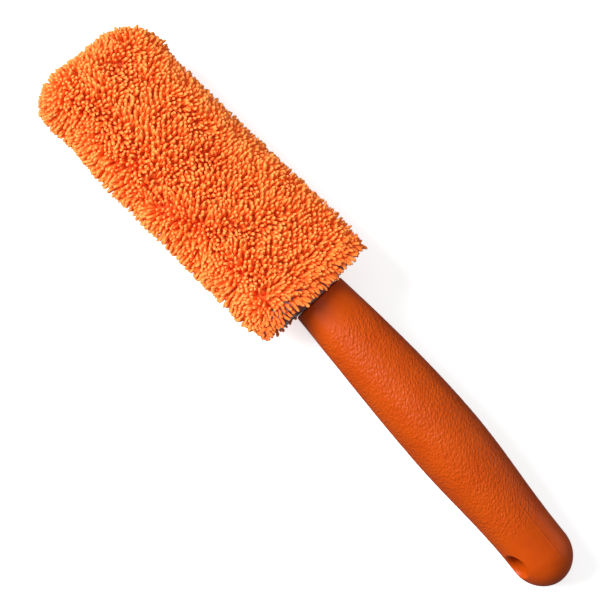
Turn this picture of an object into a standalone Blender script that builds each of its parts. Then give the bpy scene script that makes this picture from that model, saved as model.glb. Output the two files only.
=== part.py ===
"""Wheel brush: a padded flexible paddle in a removable loop-pile cover, on a curved moulded handle.

Everything is placed along the brush's centreline. Station 0 is the rear face of the shoulder collar.
Negative stations run straight along the head to its tip, and positive ones follow the handle's arc
to its butt. At each station, `side` is sideways and `rise` is away from the head's back face.
The finished brush lies on z = 0, face up, on the head's tip and the handle's butt.
"""

import math

import bmesh
import bpy
import numpy as np
from mathutils import Vector

MM = 0.001
GAP = 0.3 * MM
CLEAR = 1.0 * MM  # how far a cutter runs past the surface that it cuts
HAIR = 0.001 * MM  # keeps two rings of a loft apart

# Head: half sizes at the cover's mouth. The cavity and the foam narrow a little towards the tip.
COVER_HALF_WIDTH = 35.5 * MM
COVER_HALF_HEIGHT = 19.75 * MM
COVER_TIP = -166 * MM
COVER_CORNER = 14 * MM
COVER_PLAN_CORNER = 21 * MM
PILE_AND_CLOTH = 6.5 * MM
TAPER_WIDTH = 1.0 * MM
TAPER_HEIGHT = 1.2 * MM
CAVITY_CORNER = 9 * MM
CAVITY_PLAN_CORNER = 13 * MM
COVER_REAR_EDGE = 5 * MM
TIP_ROUNDING = 0.8  # most rounding of the tip's edge, over the half height
LONG_ROUNDING = 0.92  # most rounding of a long edge, over the half size

# Hem: a U-shaped tape round the mouth, which holds the elastic.
HEM_FRONT = -8 * MM
HEM_REAR = -2 * MM
HEM_WALL = 0.9 * MM
HEM_CHANNEL = 1.6 * MM
ELASTIC_WIDTH = 3.6 * MM
ELASTIC_THICKNESS = 1.0 * MM

# Paddle
BLADE_THICKNESS = 3.2 * MM
BLADE_HALF_WIDTH = 21 * MM
BLADE_TIP_HALF_WIDTH = 19.5 * MM
BLADE_TIP = -150 * MM
BLADE_SHOULDER = -5 * MM
BLADE_CORNER = 11 * MM
TANG_HALF_WIDTH = 7 * MM
TANG_END = 55 * MM
ADHESIVE_THICKNESS = 0.5 * MM
ADHESIVE_MARGIN = 1 * MM
EDGE_GUARD_WIDTH = 3 * MM
FOAM_HALF_WIDTH = 26 * MM
FOAM_HALF_HEIGHT = 12.4 * MM
FOAM_TIP = -156 * MM
FOAM_CORNER = 9 * MM
FOAM_PLAN_CORNER = 12 * MM
SEAM_TAPE_WIDTH = 1.7 * MM
SEAM_TAPE_HALF_HEIGHT = 2 * MM

# Shoulder collar
COLLAR_HALF_WIDTH = 24.5 * MM
COLLAR_HALF_HEIGHT = 12.6 * MM
COLLAR_THICKNESS = 4 * MM
COLLAR_SQUARENESS = 4
COLLAR_FILLET = 1.2 * MM
COLLAR_FILLET_SPREAD = 0.38  # share of the step from the neck out to the plate's edge
SPIGOT_END = 12 * MM

# Handle: an arc that droops away from the head's face, with an oval section.
DROOP_AT_NECK = math.radians(5)
DROOP_AT_BUTT = math.radians(15.5)
HANDLE_LENGTH = 185 * MM
GRIP_SQUARENESS = 2.2
NECK_HALF_WIDTH = 14.6 * MM
GRIP_HALF_WIDTH = 18.5 * MM
WAIST_HALF_WIDTH = 15.5 * MM
NECK_FLATNESS = 0.79  # half height over half width
GRIP_FLATNESS = 0.92
GRIP_WIDEST = 92 * MM
WAIST = 160 * MM
BUTT_ROUNDING = 17 * MM
BUTT_STEPS = 7
BUTT_FLAT = 0.12  # size of the flat that ends the butt, over the full section
SKIN_WALL = 3 * MM

# Core: two half shells with ribs, riveted together, with an eye round the hanging hole.
CORE_WALL = 2.6 * MM
RIB = 3 * MM
POCKETS_FROM = 58 * MM
POCKETS_TO = 138 * MM
POCKET_COUNT = 4
RIVET_RADIUS = 2 * MM
RIVETS = {
    "tang_rivet_front": 20 * MM,
    "tang_rivet_rear": 44 * MM,
    "core_rivet_middle": 98 * MM,
    "core_rivet_butt": 146 * MM,
}

# Hanging hole, which runs from side to side
HOLE_STATION = 164.5 * MM
HOLE_RADIUS = 5.5 * MM
HOLE_LIP = 4 * MM
HOLE_LIP_START = 11.8 * MM
HOLE_LINING = 2.5 * MM

ARC_RADIUS = HANDLE_LENGTH / (DROOP_AT_BUTT - DROOP_AT_NECK)
STEEPEST_TILT = math.radians(15)
TILT_HALVINGS = 40


def droop(station):
    """How far the centreline points down at a station, in radians."""
    if station <= 0:
        return 0.0
    return DROOP_AT_NECK + station / ARC_RADIUS


def at(station, side=0.0, rise=0.0):
    """The point beside and above the centreline at a station."""
    if station <= 0:
        return Vector((station, side, rise))
    angle = droop(station)
    x = ARC_RADIUS * (math.sin(angle) - math.sin(DROOP_AT_NECK))
    z = ARC_RADIUS * (math.cos(angle) - math.cos(DROOP_AT_NECK))
    return Vector((x + rise * math.sin(angle), side, z + rise * math.cos(angle)))


def round_off(distance, radius):
    """How far a rounded edge of this radius is set back, at a distance in from the end."""
    if distance >= radius:
        return 0.0
    return radius - math.sqrt(radius**2 - (radius - distance) ** 2)


def ease(share):
    """0 to 1 along half a cosine wave."""
    return (1 - math.cos(math.pi * min(max(share, 0.0), 1.0))) / 2


def steps(start, end, count):
    """count + 1 evenly spaced values."""
    return [start + (end - start) * i / count for i in range(count + 1)]


def rounded_rectangle(half_width, half_height, corner, arc_steps=5):
    """(side, rise) points round a rectangle with rounded corners."""
    points = []
    for turn, (sx, sy) in enumerate(((1, 1), (-1, 1), (-1, -1), (1, -1))):
        for angle in steps(turn * math.pi / 2, (turn + 1) * math.pi / 2, arc_steps):
            side = sx * (half_width - corner) + corner * math.cos(angle)
            rise = sy * (half_height - corner) + corner * math.sin(angle)
            points.append((side, rise))
    return points


def oval(half_width, half_height, squareness=GRIP_SQUARENESS, count=32):
    """(side, rise) points round a superellipse. Squareness 2 is an ellipse."""
    points = []
    for i in range(count):
        angle = 2 * math.pi * i / count
        c, s = math.cos(angle), math.sin(angle)
        side = half_width * math.copysign(abs(c) ** (2 / squareness), c)
        rise = half_height * math.copysign(abs(s) ** (2 / squareness), s)
        points.append((side, rise))
    return points


def mixed(first, second, share):
    """Points part of the way from one outline to another with as many points."""
    return [
        (a[0] + (b[0] - a[0]) * share, a[1] + (b[1] - a[1]) * share)
        for a, b in zip(first, second)
    ]


def ring(station, outline):
    return [at(station, side, rise) for side, rise in outline]


def loft(rings, closed=False):
    """A bmesh through rings of equal length: capped at both ends, or closed on itself."""
    bm = bmesh.new()
    loops = [[bm.verts.new(point) for point in points] for points in rings]
    pairs = list(zip(loops, loops[1:]))
    if closed:
        pairs.append((loops[-1], loops[0]))
    else:
        bm.faces.new(loops[0])
        bm.faces.new(loops[-1])
    for one, two in pairs:
        for i in range(len(one)):
            j = (i + 1) % len(one)
            bm.faces.new((one[i], one[j], two[j], two[i]))
    bmesh.ops.recalc_face_normals(bm, faces=bm.faces)
    return bm


def keep_side(bm, point, outward):
    """Cuts off what lies beyond a plane, and closes the cut."""
    geometry = bm.verts[:] + bm.edges[:] + bm.faces[:]
    cut = bmesh.ops.bisect_plane(
        bm, geom=geometry, dist=1e-7, plane_co=point, plane_no=outward, clear_outer=True
    )
    edges = [item for item in cut["geom_cut"] if isinstance(item, bmesh.types.BMEdge)]
    bmesh.ops.edgeloop_fill(bm, edges=edges)
    bmesh.ops.recalc_face_normals(bm, faces=bm.faces)
    return bm


def material(name, colour, roughness, coat=0.0):
    made = bpy.data.materials.new(name)
    made.use_nodes = True
    shader = made.node_tree.nodes["Principled BSDF"]
    shader.inputs["Base Color"].default_value = (*colour, 1.0)
    shader.inputs["Roughness"].default_value = roughness
    shader.inputs["Coat Weight"].default_value = coat
    return made


def add(name, bm, look=None, sharp=40):
    """Makes the object of a bmesh, under the brush's root. With no look it is a hidden cutter."""
    mesh = bpy.data.meshes.new(name)
    bm.to_mesh(mesh)
    bm.free()
    mesh.shade_smooth()
    mesh.set_sharp_from_angle(angle=math.radians(sharp))
    made = bpy.data.objects.new(name, mesh)
    bpy.context.scene.collection.objects.link(made)
    made.parent = ROOT
    if look:
        mesh.materials.append(look)
    else:
        made.hide_render = True
        made.display_type = "WIRE"
    return made


def cut(target, *cutters):
    for cutter in cutters:
        modifier = target.modifiers.new(cutter.name, "BOOLEAN")
        modifier.operation = "DIFFERENCE"
        modifier.object = cutter


def padded_block(tip, rear, half_width, half_height, corner, plan_corner, rear_edge=0.0):
    """A flat block with rounded long edges, a rounded tip, and a slight taper towards the tip."""
    edge = min(corner, half_height * TIP_ROUNDING)
    distances = [plan_corner * (1 - math.cos(a)) for a in steps(0, math.pi / 2, 7)]
    stations = [tip + d for d in distances]
    stations += [rear - rear_edge * math.sin(a) for a in steps(math.pi / 2, 0, 4 if rear_edge else 1)]
    rings = []
    for station in dict.fromkeys(stations):
        back = min(max((rear - station) / (rear - tip), 0.0), 1.0)
        inset = round_off(station - tip, plan_corner) + round_off(rear - station, rear_edge)
        lower = round_off(station - tip, edge) + round_off(rear - station, rear_edge)
        wide = half_width - TAPER_WIDTH * back - inset
        high = half_height - TAPER_HEIGHT * back - lower
        radius = min(corner, LONG_ROUNDING * high, LONG_ROUNDING * wide)
        rings.append(ring(station, rounded_rectangle(wide, high, radius)))
    return loft(rings)


def cavity_block(rear):
    return padded_block(
        COVER_TIP + PILE_AND_CLOTH,
        rear,
        COVER_HALF_WIDTH - PILE_AND_CLOTH,
        COVER_HALF_HEIGHT - PILE_AND_CLOTH,
        CAVITY_CORNER,
        CAVITY_PLAN_CORNER,
    )


def plan_path(tip, rear, half_width, corner):
    """(station, side) points from the rear, round the rounded tip, and back to the rear."""
    right = [(rear, half_width)]
    for angle in steps(0, math.pi / 2, 6):
        side = half_width - corner + corner * math.cos(angle)
        right.append((tip + corner - corner * math.sin(angle), side))
    return right + [(station, -side) for station, side in reversed(right)]


def strip(outer, inner, half_height):
    """A flat U-shaped strip between two plan paths."""
    rings = []
    for (s1, y1), (s2, y2) in zip(outer, inner):
        rings.append([at(s1, y1, -half_height), at(s1, y1, half_height),
                      at(s2, y2, half_height), at(s2, y2, -half_height)])
    return loft(rings)


def plate(widths, low, high):
    """A flat plate from (station, half width) pairs."""
    rings = []
    for station, half in widths:
        corners = ((-half, low), (half, low), (half, high), (-half, high))
        rings.append(ring(station, corners))
    return loft(rings)


def blade_widths(shrink=0.0):
    """(station, half width) along the blade's head part, drawn in by `shrink` all round."""
    tip = BLADE_TIP + shrink
    widths = []
    for angle in steps(0, math.pi / 2, 7):
        station = tip + BLADE_CORNER * (1 - math.cos(angle))
        inset = BLADE_CORNER * (1 - math.sin(angle))
        widths.append((station, BLADE_TIP_HALF_WIDTH - shrink - inset))
    widths.append((BLADE_SHOULDER - shrink, BLADE_HALF_WIDTH - shrink))
    return widths


def rod(station, radius, half_length, count=16):
    """A round pin that stands across the handle, along the rise direction."""
    rings = []
    for rise in (-half_length, half_length):
        circle = []
        for i in range(count):
            angle = 2 * math.pi * i / count
            circle.append(
                at(station, radius * math.cos(angle), rise)
                + (at(station + radius) - at(station)) * math.sin(angle)
            )
        rings.append(circle)
    return loft(rings)


def turned_sideways(station, profile, count=24):
    """A shape turned about the side-to-side axis at a station, from (side, radius) pairs."""
    centre, angle = at(station), droop(station)
    along = Vector((math.cos(angle), 0, -math.sin(angle)))
    up = Vector((math.sin(angle), 0, math.cos(angle)))
    rings = []
    for side, radius in profile:
        circle = []
        for i in range(count):
            turn = 2 * math.pi * i / count
            offset = along * math.cos(turn) + up * math.sin(turn)
            circle.append(centre + Vector((0, side, 0)) + offset * radius)
        rings.append(circle)
    return loft(rings)


def grip_half_sizes(station):
    """Half width and half height of the grip's outside: neck, swell, waist and rounded butt."""
    if station < GRIP_WIDEST:
        rise = math.sin(math.pi / 2 * max(station, 0.0) / GRIP_WIDEST)
        width = NECK_HALF_WIDTH + (GRIP_HALF_WIDTH - NECK_HALF_WIDTH) * rise
    else:
        share = (station - GRIP_WIDEST) / (WAIST - GRIP_WIDEST)
        width = GRIP_HALF_WIDTH + (WAIST_HALF_WIDTH - GRIP_HALF_WIDTH) * ease(share)
    flatness = NECK_FLATNESS + (GRIP_FLATNESS - NECK_FLATNESS) * ease(station / GRIP_WIDEST)
    return width, width * flatness


def handle_sections(start, end, inset, count, points, rounding=0.0):
    """(station, outline) pairs of the grip's section drawn in by `inset`, with a rounded butt if asked."""
    stations = steps(start, end - rounding, count)
    if rounding:
        stations += [end - rounding * (1 - math.sin(a)) for a in steps(0, math.pi / 2, BUTT_STEPS)[1:]]
    sections = []
    for station in stations:
        width, height = grip_half_sizes(station)
        past = max(0.0, station - (end - rounding)) / rounding if rounding else 0.0
        shrink = max(math.sqrt(max(1 - past * past, 0.0)), BUTT_FLAT)
        outline = oval((width - inset) * shrink, (height - inset) * shrink, count=points)
        sections.append((station, outline))
    return sections


def loft_sections(sections):
    return loft([ring(station, outline) for station, outline in sections])


def half_of(sections, side, floor):
    """The upper (side 1) or lower (side -1) half of each section, closed by a flat at the rise `floor`."""
    halves = []
    for station, outline in sections:
        kept = sorted((p for p in outline if p[1] * side > HAIR), key=lambda p: p[0])
        wide = max(p[0] for p in outline)
        halves.append((station, [(-wide, floor)] + kept + [(wide, floor)]))
    return halves


def make_cover():
    """Two pile panels that meet round the middle, the tape on their seam, the hem and its elastic."""
    pile = material("orange_loop_pile", (0.90, 0.24, 0.04), 0.95)
    tape = material("grey_binding", (0.42, 0.38, 0.37), 0.85)
    rubber = material("white_elastic", (0.80, 0.79, 0.76), 0.7)
    seam = material("orange_seam_tape", (0.80, 0.27, 0.07), 0.9)
    cavity = add("cover_cavity_cutter", cavity_block(HEM_FRONT + CLEAR))
    for name, outward in (("cover_front_panel", -1), ("cover_back_panel", 1)):
        block = padded_block(
            COVER_TIP, HEM_FRONT - GAP, COVER_HALF_WIDTH, COVER_HALF_HEIGHT,
            COVER_CORNER, COVER_PLAN_CORNER, rear_edge=COVER_REAR_EDGE,
        )
        keep_side(block, (0, 0, -outward * GAP / 2), (0, 0, outward))
        cut(add(name, block, pile), cavity)

    half = COVER_HALF_WIDTH - PILE_AND_CLOTH
    tip = COVER_TIP + PILE_AND_CLOTH + GAP
    wide = half - TAPER_WIDTH - GAP
    outer = plan_path(tip, HEM_FRONT - 2 * GAP, wide, CAVITY_PLAN_CORNER)
    inner = plan_path(
        tip + SEAM_TAPE_WIDTH, HEM_FRONT - 2 * GAP, wide - SEAM_TAPE_WIDTH,
        CAVITY_PLAN_CORNER - SEAM_TAPE_WIDTH,
    )
    add("seam_tape", strip(outer, inner, SEAM_TAPE_HALF_HEIGHT), seam)

    high = COVER_HALF_HEIGHT - PILE_AND_CLOTH
    thick = 2 * HEM_WALL + HEM_CHANNEL
    bridge = HEM_REAR - HEM_WALL
    section = [
        (HEM_FRONT, 0), (HEM_REAR, 0), (HEM_REAR, thick), (HEM_FRONT, thick),
        (HEM_FRONT, thick - HEM_WALL), (bridge, thick - HEM_WALL),
        (bridge, HEM_WALL), (HEM_FRONT, HEM_WALL),
    ]
    add("hem_binding", swept_round(section, half, high, CAVITY_CORNER), tape)
    start = HEM_WALL + (HEM_CHANNEL - ELASTIC_THICKNESS) / 2
    end = start + ELASTIC_THICKNESS
    front = bridge - GAP - ELASTIC_WIDTH
    section = [(front, start), (bridge - GAP, start), (bridge - GAP, end), (front, end)]
    add("hem_elastic", swept_round(section, half, high, CAVITY_CORNER), rubber)


def swept_round(section, half_width, half_height, corner):
    """A (station, outset) section carried round a rounded rectangle."""
    outlines = {
        outset: rounded_rectangle(half_width + outset, half_height + outset, corner + outset)
        for _, outset in section
    }
    count = len(next(iter(outlines.values())))
    rings = [[at(s, *outlines[outset][i]) for s, outset in section] for i in range(count)]
    return loft(rings, closed=True)


def make_paddle():
    """The blade with its tang, the strip round its edge, the adhesive sheets and the foam pads."""
    plastic = material("black_blade_plastic", (0.045, 0.045, 0.05), 0.45)
    guard = material("grey_edge_guard", (0.17, 0.17, 0.18), 0.8)
    glue = material("amber_adhesive", (0.72, 0.60, 0.36), 0.35)
    foam = material("cream_foam", (0.82, 0.78, 0.66), 0.95)
    half = BLADE_THICKNESS / 2

    widths = blade_widths()
    widths += [(BLADE_SHOULDER + GAP, TANG_HALF_WIDTH)]
    widths += [(s, TANG_HALF_WIDTH) for s in steps(0, TANG_END, 6)]
    blade = add("paddle_blade", plate(widths, -half, half), plastic, sharp=25)
    for name in ("tang_rivet_front", "tang_rivet_rear"):
        hole = rod(RIVETS[name], RIVET_RADIUS + GAP, half + CLEAR)
        cut(blade, add(name + "_blade_hole", hole))

    outer = plan_path(
        BLADE_TIP - GAP - EDGE_GUARD_WIDTH, BLADE_SHOULDER,
        BLADE_HALF_WIDTH + GAP + EDGE_GUARD_WIDTH, BLADE_CORNER + EDGE_GUARD_WIDTH,
    )
    inner = plan_path(BLADE_TIP - GAP, BLADE_SHOULDER, BLADE_HALF_WIDTH + GAP, BLADE_CORNER)
    sheet_low = half + GAP
    sheet_high = sheet_low + ADHESIVE_THICKNESS
    add("edge_guard", strip(outer, inner, sheet_high - GAP), guard)

    for side, where in ((1, "front"), (-1, "back")):
        low, high = sorted((side * sheet_low, side * sheet_high))
        sheet = plate(blade_widths(shrink=ADHESIVE_MARGIN), low, high)
        add("adhesive_" + where, sheet, glue, sharp=25)
        block = padded_block(
            FOAM_TIP, -COLLAR_THICKNESS - GAP, FOAM_HALF_WIDTH, FOAM_HALF_HEIGHT,
            FOAM_CORNER, FOAM_PLAN_CORNER,
        )
        keep_side(block, (0, 0, side * (sheet_high + GAP)), (0, 0, -side))
        add("foam_" + where, block, foam)


def make_collar():
    """The plate that fills the cover's mouth, its fillet to the neck, and a spigot into the grip."""
    look = material("mauve_brown_plastic", (0.20, 0.115, 0.11), 0.35, coat=0.3)
    plate_outline = oval(COLLAR_HALF_WIDTH, COLLAR_HALF_HEIGHT, squareness=COLLAR_SQUARENESS)
    neck = oval(*grip_half_sizes(0))
    rings = [ring(-COLLAR_THICKNESS, plate_outline), ring(0, plate_outline)]
    for angle in steps(0, math.pi / 2, 4):
        share = COLLAR_FILLET_SPREAD * (1 - math.sin(angle))
        station = HAIR + COLLAR_FILLET * (1 - math.cos(angle))
        rings.append(ring(station, mixed(neck, plate_outline, share)))
    for station in (COLLAR_FILLET + 2 * HAIR, SPIGOT_END):
        width, height = grip_half_sizes(station)
        inset = SKIN_WALL + GAP
        rings.append(ring(station, oval(width - inset, height - inset)))
    collar = add("shoulder_collar", loft(rings), look)
    slot_half = BLADE_THICKNESS / 2 + GAP
    wide = TANG_HALF_WIDTH + GAP
    stations = [-COLLAR_THICKNESS - CLEAR] + steps(0, SPIGOT_END + CLEAR, 2)
    cut(collar, add("collar_slot_cutter", plate([(s, wide) for s in stations], -slot_half, slot_half)))


def make_grip():
    """The hollow moulded skin of the handle, open at the neck, with a lined hole through the butt."""
    look = material("orange_gloss_plastic", (0.72, 0.10, 0.012), 0.3, coat=0.4)
    start = COLLAR_FILLET + GAP
    outer = handle_sections(start, HANDLE_LENGTH, 0.0, 22, 32, BUTT_ROUNDING)
    skin = add("grip_skin", loft_sections(outer), look)
    inner = handle_sections(
        start - CLEAR, HANDLE_LENGTH - SKIN_WALL, SKIN_WALL, 14, 24, BUTT_ROUNDING - SKIN_WALL
    )
    hollow = add("grip_hollow_cutter", loft_sections(inner))
    far = GRIP_HALF_WIDTH + CLEAR
    lining = [(-far, HOLE_RADIUS + HOLE_LINING), (far, HOLE_RADIUS + HOLE_LINING)]
    cut(hollow, add("hole_lining_cutter", turned_sideways(HOLE_STATION, lining)))
    lip = []
    for angle in steps(0, math.pi / 2, 4):
        side = HOLE_LIP_START + HOLE_LIP * math.sin(angle)
        lip.append((side, HOLE_RADIUS + HOLE_LIP * (1 - math.cos(angle))))
    lip.append((far, HOLE_RADIUS + HOLE_LIP))
    profile = [(-side, radius) for side, radius in reversed(lip)] + lip
    cut(skin, hollow, add("hole_cutter", turned_sideways(HOLE_STATION, profile)))


def make_core():
    """Two riveted half shells inside the grip, round the blade's tang and the hanging hole's lining."""
    look = material("natural_core_plastic", (0.62, 0.60, 0.55), 0.5)
    steel = material("steel_rivet", (0.60, 0.60, 0.62), 0.3)
    steel.node_tree.nodes["Principled BSDF"].inputs["Metallic"].default_value = 1.0
    inset = SKIN_WALL + GAP
    start, end = SPIGOT_END + GAP, HANDLE_LENGTH - SKIN_WALL - GAP
    slot_half = BLADE_THICKNESS / 2 + GAP
    slot = plate(
        [(s, TANG_HALF_WIDTH + GAP) for s in steps(start - CLEAR, TANG_END + GAP, 5)],
        -slot_half, slot_half,
    )
    far = GRIP_HALF_WIDTH + CLEAR
    eye = HOLE_RADIUS + HOLE_LINING + GAP
    cutters = [
        add("tang_slot_cutter", slot),
        add("eye_cutter", turned_sideways(HOLE_STATION, [(-far, eye), (far, eye)])),
    ]
    for name, station in RIVETS.items():
        hole = rod(station, RIVET_RADIUS + GAP, GRIP_HALF_WIDTH)
        cutters.append(add(name + "_hole_cutter", hole))
        height = grip_half_sizes(station)[1] - inset - 2 * GAP
        add(name, rod(station, RIVET_RADIUS, height), steel)
    for side, name in ((1, "core_upper"), (-1, "core_lower")):
        sections = handle_sections(start, end, inset, 12, 24, BUTT_ROUNDING - SKIN_WALL)
        half = add(name, loft_sections(half_of(sections, side, side * GAP / 2)), look)
        cut(half, *cutters)
        edges = steps(POCKETS_FROM, POCKETS_TO, POCKET_COUNT)
        for number, (first, last) in enumerate(zip(edges, edges[1:]), 1):
            if number == POCKET_COUNT // 2:
                last -= RIVET_RADIUS + RIB / 2
            if number == POCKET_COUNT // 2 + 1:
                first += RIVET_RADIUS + RIB / 2
            room = handle_sections(first + RIB / 2, last - RIB / 2, inset + CORE_WALL, 2, 16)
            pocket = loft_sections(half_of(room, side, -side * CLEAR))
            cut(half, add(f"{name}_pocket_{number}", pocket))


def points_of(names):
    """World points of some objects' own meshes, as an array."""
    bpy.context.view_layer.update()
    found = []
    for name in names:
        thing = bpy.data.objects[name]
        found += [thing.matrix_world @ v.co for v in thing.data.vertices]
    return np.array(found)


def lay_down():
    """Tilts the brush until tip and butt touch the same level, and stands it centred on the origin."""
    head, handle = points_of(["cover_back_panel"]), points_of(["grip_skin"])
    low, high = 0.0, STEEPEST_TILT
    for _ in range(TILT_HALVINGS):
        tilt = (low + high) / 2
        up = np.array((math.sin(tilt), 0, math.cos(tilt)))
        if (head @ up).min() > (handle @ up).min():
            low = tilt
        else:
            high = tilt
    ROOT.rotation_euler = (0, -tilt, 0)
    everything = points_of([o.name for o in bpy.data.objects if o.type == "MESH" and not o.hide_render])
    least, most = everything.min(axis=0), everything.max(axis=0)
    ROOT.location = (-(least[0] + most[0]) / 2, -(least[1] + most[1]) / 2, -least[2])


for old in list(bpy.data.objects):
    bpy.data.objects.remove(old, do_unlink=True)
ROOT = bpy.data.objects.new("wheel_brush", None)
bpy.context.scene.collection.objects.link(ROOT)
make_cover()
make_paddle()
make_collar()
make_grip()
make_core()
lay_down()
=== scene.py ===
import itertools
import math

import bpy
import numpy as np
from mathutils import Matrix, Vector, noise
from mathutils.bvhtree import BVHTree


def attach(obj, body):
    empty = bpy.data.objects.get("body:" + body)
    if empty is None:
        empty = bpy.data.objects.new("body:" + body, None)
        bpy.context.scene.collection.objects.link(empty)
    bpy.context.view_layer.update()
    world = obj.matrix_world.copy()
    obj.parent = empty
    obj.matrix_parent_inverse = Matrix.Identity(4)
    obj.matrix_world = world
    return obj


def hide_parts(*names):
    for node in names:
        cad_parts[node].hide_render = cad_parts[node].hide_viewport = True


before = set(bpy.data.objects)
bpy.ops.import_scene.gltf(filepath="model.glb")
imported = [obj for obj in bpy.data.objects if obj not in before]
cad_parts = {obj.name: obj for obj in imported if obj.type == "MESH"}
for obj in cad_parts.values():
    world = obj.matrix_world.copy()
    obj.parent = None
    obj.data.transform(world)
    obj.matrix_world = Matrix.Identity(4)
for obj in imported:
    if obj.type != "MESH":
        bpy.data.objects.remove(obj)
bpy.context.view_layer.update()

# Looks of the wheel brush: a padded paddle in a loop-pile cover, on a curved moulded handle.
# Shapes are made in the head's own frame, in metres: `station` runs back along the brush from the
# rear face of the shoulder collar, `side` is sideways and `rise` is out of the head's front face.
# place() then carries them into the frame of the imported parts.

MM = 0.001
CLOTH_FRAMES = 20
RANDOM = np.random.default_rng(41)

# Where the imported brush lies
TILT = math.radians(4.3637)
LIFT = np.array((-9.116, 0.0, 30.153)) * MM

# Cover
COVER_HALF_WIDTH = 35.5 * MM
COVER_HALF_HEIGHT = 19.75 * MM
COVER_TIP = -166 * MM
PILE_AND_CLOTH = 6.5 * MM
PILE_DEPTH = 5.4 * MM
CLOTH_THICKNESS = 1.0 * MM
CLOTH_REAR = -8.3 * MM
CLOTH_CORNER = 8 * MM
CLOTH_PLAN_CORNER = 11 * MM
TAPER_WIDTH = 1.0 * MM
TAPER_HEIGHT = 1.2 * MM
CAVITY_HALF_WIDTH = COVER_HALF_WIDTH - PILE_AND_CLOTH
CAVITY_HALF_HEIGHT = COVER_HALF_HEIGHT - PILE_AND_CLOTH
CAVITY_CORNER = 9 * MM
CAVITY_PLAN_CORNER = 13 * MM

# Pile
PILE_REAR = -8 * MM
EDGE_PITCH = 2.5 * MM
FILL_TRIES = 34000
CLEAR_OF_BRUSH = 100 * MM
LOOP_RADIUS = 0.75 * MM

# Handle
DROOP_AT_NECK = math.radians(5)
DROOP_AT_BUTT = math.radians(15.5)
HANDLE_LENGTH = 185 * MM
ARC_RADIUS = HANDLE_LENGTH / (DROOP_AT_BUTT - DROOP_AT_NECK)
SQUARENESS = 2.2
NECK_HALF_WIDTH = 14.6 * MM
GRIP_HALF_WIDTH = 18.5 * MM
WAIST_HALF_WIDTH = 15.5 * MM
NECK_FLATNESS = 0.79
GRIP_FLATNESS = 0.92
GRIP_WIDEST = 92 * MM
WAIST = 160 * MM
BUTT_ROUNDING = 17 * MM
SKIN_WALL = 3 * MM
GRIP_START = 1.5 * MM
HOLE_STATION = 164.5 * MM
HOLE_RADIUS = 5.5 * MM
HOLE_LIP = 4 * MM
HOLE_LIP_START = 11.8 * MM
HOLE_LINING = 2.5 * MM
COLLAR_HALF_WIDTH = 24.5 * MM
COLLAR_HALF_HEIGHT = 12.6 * MM
COLLAR_THICKNESS = 4 * MM
COLLAR_FILLET = 1.2 * MM
SPIGOT_END = 12 * MM


# ---------------------------------------------------------------- placing and small sums


def place(points):
    """Points of the head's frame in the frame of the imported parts."""
    x, y, z = np.asarray(points, float).reshape(-1, 3).T
    c, s = math.cos(TILT), math.sin(TILT)
    return np.column_stack((x * c - z * s, y, x * s + z * c)) + LIFT


def along(station, side, rise):
    """Points beside and above the centreline, which is straight in the head and an arc in the handle."""
    station, side, rise = np.broadcast_arrays(*(np.asarray(v, float) for v in (station, side, rise)))
    angle = np.where(station > 0, DROOP_AT_NECK + station / ARC_RADIUS, 0.0)
    x = np.where(station > 0, ARC_RADIUS * (np.sin(angle) - math.sin(DROOP_AT_NECK)), station)
    z = np.where(station > 0, ARC_RADIUS * (np.cos(angle) - math.cos(DROOP_AT_NECK)), 0.0)
    return np.stack((x + rise * np.sin(angle), side, z + rise * np.cos(angle)), axis=-1)


def ease(share):
    return (1 - np.cos(np.pi * np.clip(share, 0, 1))) / 2


def round_off(distance, radius):
    """How far a rounded edge is set back, at a distance in from the end."""
    inside = np.clip(radius - distance, 0, radius)
    return radius - np.sqrt(np.maximum(radius**2 - inside**2, 0))


def smooth_noise(points, size, seed=0.0):
    """Smooth noise from about -1 to 1 at each point, with features of this size."""
    shift = Vector((seed * 7.31, seed * 3.17, seed * 5.93))
    return np.array([noise.noise(Vector(p) / size + shift) for p in points]) * 1.6


def unit(vectors):
    return vectors / np.maximum(np.linalg.norm(vectors, axis=-1, keepdims=True), 1e-12)


def rounded_rectangle(half_width, half_height, corner, arc, flat, upright):
    """(points, outward normals) as (side, rise), from the numbers of steps on a corner and on the sides."""
    points, normals = [], []
    for turn, (sx, sy) in enumerate(((1, 1), (-1, 1), (-1, -1), (1, -1))):
        for a in np.linspace(turn * math.pi / 2, (turn + 1) * math.pi / 2, arc):
            c, s = math.cos(a), math.sin(a)
            points.append((sx * (half_width - corner) + corner * c, sy * (half_height - corner) + corner * s))
            normals.append((c, s))
        half, count = (half_height, upright) if turn % 2 else (half_width, flat)
        run = (half - corner) * 2
        here = np.array(points[-1])
        for k in range(1, count):
            points.append(tuple(here + np.array((-s, c)) * run * k / count))
            normals.append((c, s))
    return np.array(points), np.array(normals)


def mouth_outline(step):
    """(points, outward normals, distance round) of the cover's mouth, evenly spaced."""
    arc = max(4, round(CAVITY_CORNER * math.pi / 2 / step))
    flat, upright = (
        max(1, round((half - CAVITY_CORNER) * 2 / step)) for half in (CAVITY_HALF_WIDTH, CAVITY_HALF_HEIGHT)
    )
    points, normals = rounded_rectangle(
        CAVITY_HALF_WIDTH, CAVITY_HALF_HEIGHT, CAVITY_CORNER, arc, flat, upright
    )
    gaps = np.linalg.norm(np.diff(points, axis=0), axis=1)
    return points, normals, np.concatenate(([0], np.cumsum(gaps)))


def arc_points(side, rise, radius, start, end, count):
    """(side, rise) points of an arc round a centre, between two angles."""
    angles = np.linspace(start, end, count)
    return [(side + radius * math.cos(a), rise + radius * math.sin(a)) for a in angles]


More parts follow.
